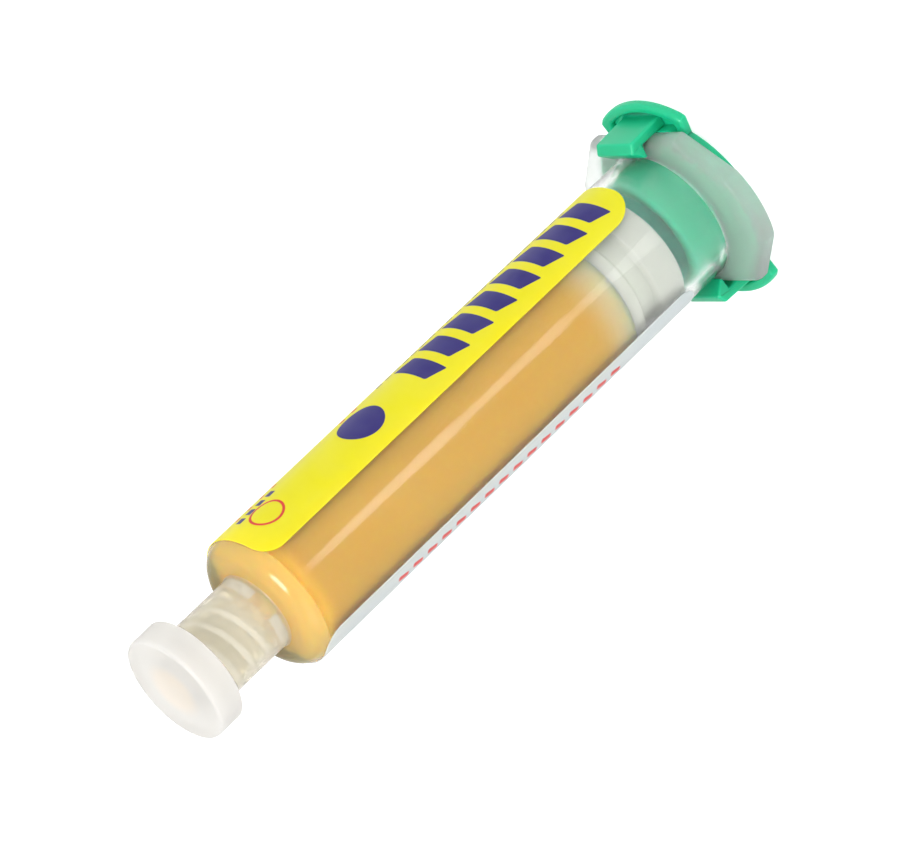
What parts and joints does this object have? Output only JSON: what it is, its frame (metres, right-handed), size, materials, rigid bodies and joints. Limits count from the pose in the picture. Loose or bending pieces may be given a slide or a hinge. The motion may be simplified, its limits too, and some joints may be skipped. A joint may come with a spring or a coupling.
{
  "type": "flux syringe",
  "caption": "Dispensing syringe filled with amber soldering flux: luer-lock barrel with a yellow wrap-round label, clip-on green end cap, natural tip cap and a free piston.",
  "frame": {"origin": "centre of the end cap's back face, on the surface it stands on", "axes": "+Z along the barrel, from the end cap to the tip; +X through one ear of the flange, where the label leaves a window; +Y through one hook of the end cap"},
  "size_m": [0.031, 0.0288, 0.0951],
  "materials": {
    "barrel": "clear to milky moulded polypropylene, glossy",
    "end_cap": "green moulded polyethylene, satin gloss",
    "piston": "natural milky polyethylene",
    "flux": "amber translucent paste",
    "label": "printed film, yellow with dark blue fields",
    "tip_cap": "natural translucent polyethylene"
  },
  "bodies": {
    "end_cap": {"end_cap": "end_cap"},
    "barrel": {"barrel": "barrel", "label": "label", "flux_paste": "flux"},
    "piston": {"piston": "piston"},
    "tip_cap": {"tip_cap": "tip_cap"}
  },
  "joints": [
    {"name": "barrel_lift", "type": "slide", "parent": "end_cap", "child": "barrel", "axis": [0, 0, 1], "range_m": [0, 0.03]},
    {"name": "piston_slide", "type": "slide", "parent": "barrel", "child": "piston", "axis": [0, 0, 1], "range_m": [0, 0.055], "deforming": ["flux_paste"]},
    {"name": "tip_cap_pull", "type": "slide", "parent": "barrel", "child": "tip_cap", "axis": [0, 0, 1], "range_m": [0, 0.015]}
  ]
}
